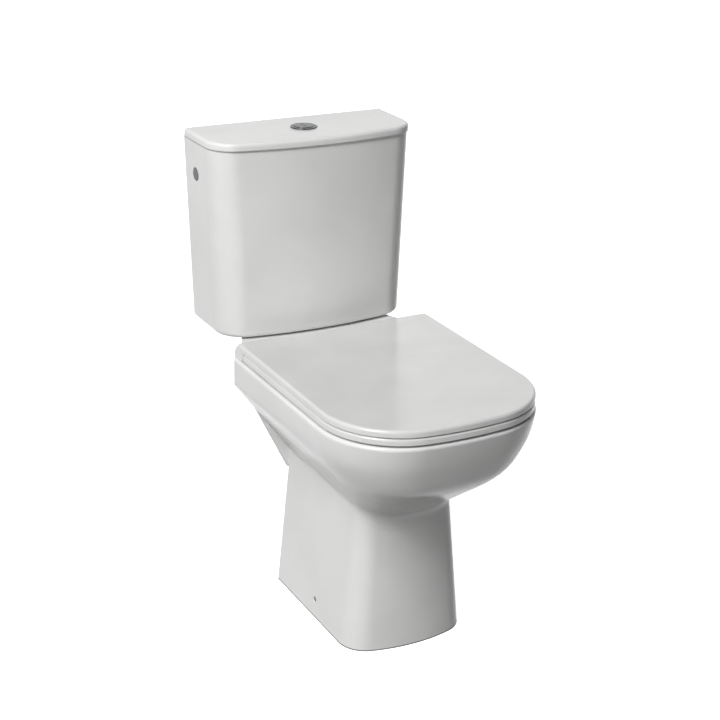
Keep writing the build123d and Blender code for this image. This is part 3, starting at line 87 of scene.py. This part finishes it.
def makeFinish(look):
    # a noise's size is the spacing of its blotches in mm; Object coordinates are in metres
    material, tree, place = startMaterial(look["name"])
    noise = {}
    for use in ("drift", "gloss", "relief"):
        pattern = {**patches, **look.get(use, look["relief"])}
        scaled = addNode(tree, "ShaderNodeMapping", {"Vector": place, "Scale": pattern["stretch"]})
        noise[use] = addNode(tree, "ShaderNodeTexNoise", {
            "Vector": scaled.outputs[0], "Scale": 1 / (pattern["size"] * mm), "Detail": pattern["detail"],
        }).outputs["Fac"]
    colour = addNode(tree, "ShaderNodeValToRGB", {"Fac": noise["drift"]})
    for stop, hexColour, at in zip(colour.color_ramp.elements, look["colours"], patches["driftEnds"]):
        stop.color = linear(hexColour)
        stop.position = at
    gloss = addNode(tree, "ShaderNodeMapRange", {
        "Value": noise["gloss"], "From Min": patches["glossEnds"][0], "From Max": patches["glossEnds"][1],
        "To Min": look["rough"][0], "To Max": look["rough"][1],
    })
    relief = addNode(tree, "ShaderNodeBump", {
        "Height": noise["relief"], "Strength": 1.0, "Distance": look["reliefDepth"] * mm,
    })
    shader = addNode(tree, "ShaderNodeBsdfPrincipled", {
        "Base Color": colour.outputs["Color"], "Roughness": gloss.outputs["Result"],
        "Normal": relief.outputs["Normal"], **look["shader"],
    })
    addNode(tree, "ShaderNodeOutputMaterial", {"Surface": shader.outputs[0]})
    nodes = {"colour": colour, "gloss": gloss, "relief": relief, "shader": shader}
    return material, tree, place, nodes


china = {
    "name": "whiteGlazedChina", "colours": ("#e7e7e6", "#eeeeed"), "drift": {"size": 160},
    "gloss": {"size": 45}, "rough": (0.18, 0.26),
    "relief": {"size": 5}, "reliefDepth": 0.006,  # a fine orange peel
    "waveSize": 60, "waveDetail": 1.0, "waveDepth": 0.05,  # the glaze pools in long soft waves
    "edge": 3.5, "hullEdge": 14, "edgeSamples": 8,  # radius of an arris, largest at the hull's cast front
    "hullTopZ": (398, 376), "hullLowZ": (252, 276), "hullY": (120, 30),  # where that radius grows
    "bareAndShadowZ": (1.5, 2.5), "bareShadowColour": "#8b8985", "bareRough": 0.7,  # the foot stands on an unglazed, rougher edge, its colour darkened there as a painted contact shadow
    "shader": {"IOR": 1.42},
}


def whiteGlazedChina():
    # Vitreous china under a clear fired glaze: a deep neutral white with a smooth, slightly wavy wet skin
    material, tree, place, nodes = makeFinish(china)
    axes = addNode(tree, "ShaderNodeSeparateXYZ", {"Vector": place}).outputs
    within = {}
    for zone, axis in (("hullTopZ", "Z"), ("hullLowZ", "Z"), ("hullY", "Y"), ("bareAndShadowZ", "Z")):
        start, end = china[zone]
        within[zone] = addNode(tree, "ShaderNodeMapRange", {
            "Value": axes[axis], "From Min": start * mm, "From Max": end * mm,
        }, interpolation_type="SMOOTHSTEP").outputs["Result"]
    hull = within["hullTopZ"]
    for zone in ("hullLowZ", "hullY"):
        hull = addNode(tree, "ShaderNodeMath", {0: hull, 1: within[zone]}, operation="MULTIPLY").outputs[0]
    radius = addNode(tree, "ShaderNodeMath", {
        0: hull, 1: (china["hullEdge"] - china["edge"]) * mm, 2: china["edge"] * mm,
    }, operation="MULTIPLY_ADD")
    soft = addNode(tree, "ShaderNodeBevel", {"Radius": radius.outputs[0]}, samples=china["edgeSamples"])
    pools = addNode(tree, "ShaderNodeTexNoise", {
        "Vector": place, "Scale": 1 / (china["waveSize"] * mm), "Detail": china["waveDetail"],
    })
    waves = addNode(tree, "ShaderNodeBump", {
        "Height": pools.outputs["Fac"], "Strength": 1.0, "Distance": china["waveDepth"] * mm,
        "Normal": soft.outputs[0],
    })
    # lowest 2 mm: unglazed and rough, and darkened grey as a painted contact shadow along the floor
    colour = addNode(tree, "ShaderNodeMix", {
        0: within["bareAndShadowZ"], 6: linear(china["bareShadowColour"]), 7: nodes["colour"].outputs["Color"],
    }, data_type="RGBA")
    rough = addNode(tree, "ShaderNodeMix", {
        0: within["bareAndShadowZ"], 2: china["bareRough"], 3: nodes["gloss"].outputs["Result"],
    }, data_type="FLOAT")
    setSockets(tree, nodes["relief"], {"Normal": waves.outputs["Normal"]})
    setSockets(tree, nodes["shader"], {"Base Color": colour.outputs[2], "Roughness": rough.outputs[0]})
    return material


milky = (2 * mm, 2 * mm, 2 * mm)  # how far light spreads inside the pale plastics

finishes = {
    # Pressed urea resin of the seat: hard, dense white with a polished mould skin and faint wiping marks
    "seat_plastic": {
        "name": "whiteUreaPlastic", "colours": ("#dededd", "#e3e3e2"), "drift": {"size": 90},
        "gloss": {"size": 30}, "rough": (0.14, 0.22), "relief": {"size": 2.2}, "reliefDepth": 0.004,
        "shader": {"IOR": 1.55},
    },
    # Chrome on the brass fittings, with soft water stains: a dark grey mirror, its colour darkened as a
    # painted reflection of dark surroundings
    "chrome_trim": {
        "name": "polishedChrome", "colours": ("#404244", "#4c4e50"), "drift": {"size": 12},
        "rough": (0.06, 0.14), "relief": {"size": 3, "detail": 4.0}, "reliefDepth": 0.001,
        "shader": {"Metallic": 1.0},
    },
    # Chrome plated on moulded plastic, blurred a touch by fingers: dark grey satin, its colour darkened as a
    # painted reflection of dark surroundings
    "chromed_plastic": {
        "name": "chromedPlastic", "colours": ("#4c4e50", "#5a5c5e"), "drift": {"size": 8},
        "rough": (0.16, 0.26), "relief": {"size": 2, "detail": 4.0}, "reliefDepth": 0.001,
        "shader": {"Metallic": 1.0},
    },
    # Zinc plated steel of pins, screws and washers: dull blue-grey with turning marks round the axis
    "steel": {
        "name": "zincPlatedSteel", "colours": ("#6b6f73", "#7f8386"), "drift": {"size": 6},
        "rough": (0.28, 0.42), "relief": {"size": 1.5, "detail": 4.0, "stretch": (1, 1, 8)},
        "reliefDepth": 0.004, "shader": {"Metallic": 1.0},
    },
    # Brass of the cistern bolts: yellow, browned where water has dried
    "brass": {
        "name": "boltBrass", "colours": ("#8d6f38", "#b8965a"), "drift": {"size": 7},
        "rough": (0.24, 0.40), "relief": {"size": 1.5, "detail": 4.0, "stretch": (1, 1, 8)},
        "reliefDepth": 0.004, "shader": {"Metallic": 1.0},
    },
    # Natural polypropylene of the valves: milky, lets a little light into itself
    "valve_plastic": {
        "name": "milkyPolypropylene", "colours": ("#d3d5d6", "#dfe1e1"), "drift": {"size": 25},
        "gloss": {"size": 12.5}, "rough": (0.30, 0.42), "relief": {"size": 1.2, "detail": 4.0},
        "reliefDepth": 0.01, "shader": {"Subsurface Weight": 0.15, "Subsurface Radius": milky},
    },
    # Blue acetal of the rods, rockers and yokes: waxy and even
    "blue_plastic": {
        "name": "blueAcetal", "colours": ("#3d668f", "#4a76a0"), "drift": {"size": 18},
        "gloss": {"size": 9}, "rough": (0.32, 0.45), "relief": {"size": 1.0, "detail": 4.0},
        "reliefDepth": 0.01, "shader": {"Subsurface Weight": 0.05, "Subsurface Radius": milky},
    },
    # Foamed polystyrene of the floats: chalky white with a beady surface
    "float_plastic": {
        "name": "foamedPolystyrene", "colours": ("#cfd0cc", "#dededa"), "drift": {"size": 10},
        "gloss": {"size": 5}, "rough": (0.55, 0.75), "relief": {"size": 3.0, "detail": 4.0},
        "reliefDepth": 0.10, "shader": {"Subsurface Weight": 0.1, "Subsurface Radius": milky},
    },
    # Black rubber of washers and gasket: soft black with a grey bloom
    "black_rubber": {
        "name": "blackRubber", "colours": ("#1c1c1d", "#2b2b2b"), "drift": {"size": 9},
        "gloss": {"size": 4.5}, "rough": (0.6, 0.8), "relief": {"size": 0.8, "detail": 4.0},
        "reliefDepth": 0.03, "shader": {},
    },
    # Grey buffer rubber under seat and lid: matt, with scuffed faces
    "grey_rubber": {
        "name": "greyBufferRubber", "colours": ("#858585", "#979796"), "drift": {"size": 6},
        "gloss": {"size": 3}, "rough": (0.55, 0.75), "relief": {"size": 0.8, "detail": 4.0},
        "reliefDepth": 0.02, "shader": {},
    },
}

materials = {slot: makeFinish(look)[0] for slot, look in finishes.items()}
materials["white_china"] = whiteGlazedChina()
print("materials", len(materials))


# CAD nodes: joined triangles, smooth across faces that meet at less than an angle in degrees
smoothing = {"weld": 0.004, "angle": 24}


def smoothGroup():
    group = bpy.data.node_groups.new("smoothByAngle", "GeometryNodeTree")
    for way in ("INPUT", "OUTPUT"):
        group.interface.new_socket("Geometry", in_out=way, socket_type="NodeSocketGeometry")
    start = addNode(group, "NodeGroupInput")
    weld = addNode(group, "GeometryNodeMergeByDistance", {
        "Geometry": start.outputs[0], "Distance": smoothing["weld"] * mm,
    })
    angle = addNode(group, "GeometryNodeInputMeshEdgeAngle").outputs["Unsigned Angle"]
    flat = addNode(group, "FunctionNodeCompare", {"A": angle, "B": radians(smoothing["angle"])},
                   data_type="FLOAT", operation="LESS_THAN")
    faces = addNode(group, "GeometryNodeSetShadeSmooth", {"Geometry": weld.outputs[0]}, domain="FACE")
    edges = addNode(group, "GeometryNodeSetShadeSmooth", {
        "Geometry": faces.outputs[0], "Shade Smooth": flat.outputs[0],
    }, domain="EDGE")
    addNode(group, "NodeGroupOutput", {"Geometry": edges.outputs[0]})
    return group


def dressNodes():
    group = smoothGroup()
    for part in frame["record"]["subparts"]:
        obj = cad[part["node"]]
        obj.data.materials.clear()
        obj.data.materials.append(materials[part["material_slot"]])
        obj.modifiers.new("smooth", "NODES").node_group = group
        weighted = obj.modifiers.new("weighted", "WEIGHTED_NORMAL")
        weighted.mode = "FACE_AREA"
        weighted.keep_sharp = True


dressNodes()
print("CAD nodes dressed", len(cad))


# New pieces, each a numpy surface on a grid of two parameters
def addSurface(name, points, slot):
    # points is (rows, columns, 3) in mm; columns close on themselves, rows end in a point
    rows, columns = points.shape[:2]
    row, column = np.meshgrid(np.arange(rows - 1), np.arange(columns), indexing="ij")
    after = (column + 1) % columns
    corners = (row * columns + column, row * columns + after,
               (row + 1) * columns + after, (row + 1) * columns + column)
    quads = np.stack(corners, axis=-1).reshape(-1, 4)
    mesh = bpy.data.meshes.new(name)
    mesh.vertices.add(rows * columns)
    mesh.vertices.foreach_set("co", (points * mm).astype(np.float32).ravel())
    mesh.loops.add(quads.size)
    mesh.loops.foreach_set("vertex_index", quads.astype(np.int32).ravel())
    mesh.polygons.add(len(quads))
    mesh.polygons.foreach_set("loop_start", np.arange(0, quads.size, 4, dtype=np.int32))
    mesh.polygons.foreach_set("use_smooth", np.ones(len(quads), dtype=bool))
    mesh.update(calc_edges=True)
    mesh.materials.append(materials[slot])
    piece = bpy.data.objects.new(name, mesh)
    scene.collection.objects.link(piece)
    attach(piece, "pan")
    return piece


crease = {
    # the solids' own sizes: the wall is at wallY, and front and back are distances from it
    "wallY": 347.5, "back": 204.0,
    "foot": {"half": 107.5, "front": 495.0, "corner": 48.0, "bow": 270.0},
    "top": {"half": 82.3, "front": 478.0, "corner": 33.0, "bow": 230.0}, "topZ": 262.0,
    "bandZ": 374.0, "rimHalf": 180.0, "bandFront": 629.0, "sideSlope": 0.733,
    "cornerShare": 131 / 180, "bowShare": 549 / 180,
    "drops": (29, 49, 74, 99, 124, 149, 169), "frontIn": (14, 27, 56, 90, 123, 153, 177), "degree": 6,
    # the fillet: its radius, the share of it up the hull, and the points over which it fades in at the ends
    "sideRadius": 6.0, "frontRadius": 22.0, "hullShare": 0.62, "fade": 30,
    # its edges run on and sink, it stands clear of the glaze by lift, and its inner side is deep
    "run": 8.0, "sink": 1.2, "lift": 0.05, "deep": 5.0,
    "sideCount": 40, "cornerCount": 50, "bowCount": 24, "arcCount": 14, "diveCount": 5,
    "searchZ": (206.0, 260.0), "searchOut": 60.0, "halvings": 40,  # where the crease and the hull are sought
}


def halfOutline(shape):
    # left half of the foot's plan: straight side, corner arc about (-cx, cy), bowed front about (0, by)
    bowY = crease["wallY"] - shape["front"] + shape["bow"]
    cornerX = shape["half"] - shape["corner"]
    cornerY = bowY - np.sqrt((shape["bow"] - shape["corner"]) ** 2 - cornerX ** 2)
    turn = 2 * pi + np.arctan2(cornerY - bowY, -cornerX)
    along = np.linspace(0, 1, crease["sideCount"], endpoint=False)
    backY = crease["wallY"] - crease["back"]
    side = np.stack((np.full_like(along, -shape["half"]), backY + (cornerY - backY) * along), 1)
    angle = np.linspace(pi, turn, crease["cornerCount"], endpoint=False)
    corner = np.stack((np.cos(angle), np.sin(angle)), 1) * shape["corner"] + (-cornerX, cornerY)
    angle = np.linspace(turn, 1.5 * pi, crease["bowCount"])
    bow = np.stack((np.cos(angle), np.sin(angle)), 1) * shape["bow"] + (0, bowY)
    return np.concatenate((side, corner, bow))


def wholeOutline(shape):
    left = halfOutline(shape)
    return np.concatenate((left, left[-2::-1] * (-1, 1)))


def hullDistance(plan, z):
    # how far a plan point is outside the hull at height z: distance to its core, less the corner radius
    drop = crease["bandZ"] - z
    half = crease["rimHalf"] - crease["sideSlope"] * drop
    drawnIn = np.polyfit(crease["drops"], crease["frontIn"], crease["degree"])
    front = crease["bandFront"] - np.polyval(drawnIn, drop)
    corner, bow = half * crease["cornerShare"], half * crease["bowShare"]
    bowY = crease["wallY"] - front + bow
    cornerX = half - corner
    cornerY = bowY - np.sqrt((bow - corner) ** 2 - cornerX ** 2)
    x, y = np.abs(plan[:, 0]), plan[:, 1]
    toSide = x - cornerX
    toBow = np.hypot(x, y - bowY) - (bow - corner)
    toTip = np.hypot(x - cornerX, y - cornerY)
    overBow = x * (bowY - cornerY) <= cornerX * (bowY - y)
    return np.where(y >= cornerY, toSide, np.where(overBow, toBow, toTip)) - corner


def solve(outside, low, high):
    # halves the bracket until it closes on the sign change; outside is positive at low
    for _ in range(crease["halvings"]):
        middle = (low + high) / 2
        beyond = outside(middle) > 0
        low, high = np.where(beyond, middle, low), np.where(beyond, high, middle)
    return (low + high) / 2


def creaseFillet():
    # slip and glaze fill the crease of hull and foot: q(s) = c + (1-s)^2 a + s^2 b, where a runs down the
    # foot and b up the hull; both ends run on and dive under the glaze by sink * t^2
    foot, top = wholeOutline(crease["foot"]), wholeOutline(crease["top"])
    count = len(foot)

    def footPlan(z):
        share = (z / crease["topZ"])[:, None]
        return foot * (1 - share) + top * share

    def upright(sideways, rise):
        return np.column_stack((outward * sideways[:, None], rise))

    lowZ, highZ = (np.full(count, z) for z in crease["searchZ"])
    z = solve(lambda z: hullDistance(footPlan(z), z), lowZ, highZ)
    plan = footPlan(z)
    along = np.gradient(plan, axis=0)
    outward = np.stack((along[:, 1], -along[:, 0]), 1) / np.linalg.norm(along, axis=1)[:, None]
    outward *= np.sign((outward * (plan - plan.mean(axis=0))).sum(axis=1))[:, None]
    facing = np.clip(-outward[:, 1], 0, 1)  # 0 on the sides, 1 at the front
    ends = np.clip(np.minimum(np.arange(count), np.arange(count)[::-1]) / crease["fade"], 0, 1)
    radius = (crease["sideRadius"] + (crease["frontRadius"] - crease["sideRadius"]) * facing) * ends
    rise = crease["hullShare"] * radius
    reach = solve(lambda s: -hullDistance(plan + s[:, None] * outward, z + rise),
                  np.zeros(count), np.full(count, crease["searchOut"]))
    lean = ((footPlan(z - 1) - plan) * outward).sum(axis=1)  # how far the foot spreads over 1 mm
    downLength, upLength = np.hypot(lean, 1), np.maximum(np.hypot(reach, rise), 1e-6)
    down = upright(lean / downLength, -1 / downLength)
    downNormal = upright(1 / downLength, lean / downLength)
    up = upright(reach / upLength, rise / upLength)
    upNormal = upright(rise / upLength, -reach / upLength)
    climb = upLength * ends
    corner = np.column_stack((plan, z))
    s = np.linspace(0, 1, crease["arcCount"])[None, :, None]
    t = np.linspace(1, 0, crease["diveCount"], endpoint=False)[None, :, None]
    run, dive, lift, deep = (crease[key] * ends[:, None, None] for key in ("run", "sink", "lift", "deep"))

    def tail(length, direction, normal):
        forward = (length[:, None, None] + run * t) * direction[:, None]
        return forward + (lift - dive * t ** 2) * normal[:, None]

    footArm, hullArm = (radius[:, None] * down)[:, None], climb[:, None, None] * up[:, None]
    clear = lift * ((1 - s) * downNormal[:, None] + s * upNormal[:, None])
    arc = (1 - s) ** 2 * footArm + s ** 2 * hullArm + clear
    inside = -deep * upright(np.ones(count), np.zeros(count))[:, None]
    ring = (tail(radius, down, downNormal), arc, tail(climb, up, upNormal)[:, ::-1], inside)
    return addSurface("creaseFillet", corner[:, None] + np.concatenate(ring, axis=1), "white_china")


bolt = {
    "at": ((-76.0, 270.0), (76.0, 270.0)), "radius": 4.0, "depth": 0.55, "pitch": 1.25,
    "tipZ": 378.5, "tipTaper": 1.0, "headZ": 444.8, "headRadius": 7.5, "headHeight": 4.0,
    "around": 36, "perPitch": 8, "domeCount": 10,
}


def cisternBolt(index):
    # r(a, z) = radius - depth * |saw(z / pitch - a / 2pi)| on the shank, then a domed head
    z = np.arange(bolt["tipZ"] + bolt["tipTaper"], bolt["headZ"], bolt["pitch"] / bolt["perPitch"])
    rise = np.linspace(0, pi / 2, bolt["domeCount"])
    dome = bolt["headHeight"] / 2
    level = np.concatenate(([bolt["tipZ"]] * 2, z, [bolt["headZ"]] * 2, [bolt["headZ"] + dome],
                            bolt["headZ"] + dome * (1 + np.sin(rise))))
    girth = np.concatenate(([0, bolt["radius"] - bolt["tipTaper"]], np.full(len(z), bolt["radius"]),
                            [bolt["radius"], bolt["headRadius"], bolt["headRadius"]],
                            bolt["headRadius"] * np.cos(rise)))
    angle = np.linspace(0, 2 * pi, bolt["around"], endpoint=False)
    saw = np.abs((level[:, None] / bolt["pitch"] - angle / (2 * pi)) % 1 - 0.5) * 2
    threaded = (np.arange(len(level)) >= 2) & (np.arange(len(level)) < 2 + len(z))
    radius = girth[:, None] - bolt["depth"] * saw * threaded[:, None]
    x, y = bolt["at"][index]
    points = np.stack((x + radius * np.cos(angle), y + radius * np.sin(angle),
                       np.broadcast_to(level[:, None], radius.shape)), axis=-1)
    piece = addSurface(f"cisternBolt.{index}", points, "brass")
    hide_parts("cistern_bolts")


creaseFillet()
for index in range(len(bolt["at"])):
    cisternBolt(index)
print("new pieces", 1 + len(bolt["at"]))


# Floor, world and lamps
stage = {
    "floorSize": 60000, "floorRough": 0.9,
    "floorColours": ("#5c5c5c", "#c8c8c8"),  # as it lights the object, as it is seen
    "floorGlow": (0.92, 1.0), "glowReach": (0.9, 2.6),  # whiter away from the object, in metres
    "sky": "#ffffff", "skyLevel": 0.03,
}


def shownBack(tree):
    # 1 where the camera, a mirror or glass looks at the backdrop, 0 for the light that it sends on
    rays = addNode(tree, "ShaderNodeLightPath").outputs
    shown = rays["Is Camera Ray"]
    for kind in ("Is Glossy Ray", "Is Transmission Ray"):
        shown = addNode(tree, "ShaderNodeMath", {0: shown, 1: rays[kind]}, operation="MAXIMUM").outputs[0]
    return shown


def makeFloor():
    # Matt paper sheet: it takes the shadow and shows as an even white
    half = stage["floorSize"] / 2 * mm
    mesh = bpy.data.meshes.new("floor")
    corners = [(-half, -half, 0), (half, -half, 0), (half, half, 0), (-half, half, 0)]
    mesh.from_pydata(corners, [], [(0, 1, 2, 3)])
    floor = bpy.data.objects.new("floor", mesh)
    scene.collection.objects.link(floor)
    material, tree, place = startMaterial("paperFloor")
    shown = shownBack(tree)
    dark, pale = (linear(hexColour) for hexColour in stage["floorColours"])
    paper = addNode(tree, "ShaderNodeMix", {0: shown, 6: dark, 7: pale}, data_type="RGBA")
    away = addNode(tree, "ShaderNodeVectorMath", {0: place}, operation="LENGTH")
    white = addNode(tree, "ShaderNodeMapRange", {
        "Value": away.outputs["Value"],
        "From Min": stage["glowReach"][0], "From Max": stage["glowReach"][1],
        "To Min": stage["floorGlow"][0], "To Max": stage["floorGlow"][1],
    })
    glow = addNode(tree, "ShaderNodeMath", {0: shown, 1: white.outputs["Result"]}, operation="MULTIPLY")
    shader = addNode(tree, "ShaderNodeBsdfPrincipled", {
        "Base Color": paper.outputs[2], "Roughness": stage["floorRough"], "Specular IOR Level": 0.0,
        "Emission Color": (1, 1, 1, 1), "Emission Strength": glow.outputs[0],
    })
    addNode(tree, "ShaderNodeOutputMaterial", {"Surface": shader.outputs[0]})
    mesh.materials.append(material)


def makeWorld():
    world = bpy.data.worlds.new("studio")
    world.use_nodes = True
    scene.world = world
    tree = world.node_tree
    tree.nodes.clear()
    level = addNode(tree, "ShaderNodeMapRange", {
        "Value": shownBack(tree), "To Min": stage["skyLevel"], "To Max": 1.0,
    })
    back = addNode(tree, "ShaderNodeBackground", {
        "Color": linear(stage["sky"]), "Strength": level.outputs["Result"],
    })
    addNode(tree, "ShaderNodeOutputWorld", {"Surface": back.outputs[0]})


lamps = {  # places and sizes in metres, power in watts
    "key": {"at": (-4.3, -2.15, 3.9), "size": (2.2, 2.2), "power": 156},
    "keyHigh": {"at": (-3.2, -2.0, 5.0), "size": (2.2, 2.2), "power": 196},
    "card": {"at": (-2.0, -2.2, 0.12), "size": (1.4, 1.4), "power": 15},  # light thrown up from the left
    "back": {"at": (3.8, 3.8, 1.8), "size": (3.0, 3.0), "power": 120, "mirrored": False},  # for the far sides
}
lampTarget = Vector((0, 0, 0.4))


def makeLamp(name, look):
    light = bpy.data.lights.new(name, "AREA")
    light.shape = "RECTANGLE"
    light.size, light.size_y = look["size"]
    light.energy = look["power"]
    lamp = bpy.data.objects.new(name, light)
    scene.collection.objects.link(lamp)
    lamp.location = look["at"]
    lamp.visible_camera = False
    lamp.visible_glossy = look.get("mirrored", True)
    lamp.rotation_euler = (lampTarget - lamp.location).to_track_quat("-Z", "Y").to_euler()


makeFloor()
makeWorld()
for name, look in lamps.items():
    makeLamp(name, look)
scene.view_settings.view_transform = "Standard"
print("floor, world and", len(lamps), "lamps")


# Camera, fitted to the photograph's edges; place in metres, angles in degrees
camera = {
    "at": (-1.14276, -2.12095, 1.39376), "azimuth": -27.71, "elevation": 21.56, "roll": 0.97,
    "focalPixels": 1621.1, "imagePixels": 720, "sensor": 36,
}


def makeCamera():
    data = bpy.data.cameras.new("camera")
    data.sensor_width = camera["sensor"]
    data.lens = camera["focalPixels"] / camera["imagePixels"] * camera["sensor"]
    obj = bpy.data.objects.new("camera", data)
    scene.collection.objects.link(obj)
    around = Matrix.Rotation(radians(camera["azimuth"]), 3, "Z")
    down = Matrix.Rotation(pi / 2 - radians(camera["elevation"]), 3, "X")
    roll = Matrix.Rotation(radians(camera["roll"]), 3, "Z")
    obj.rotation_euler = (around @ down @ roll).to_euler()
    obj.location = camera["at"]
    scene.camera = obj


makeCamera()
print("camera")
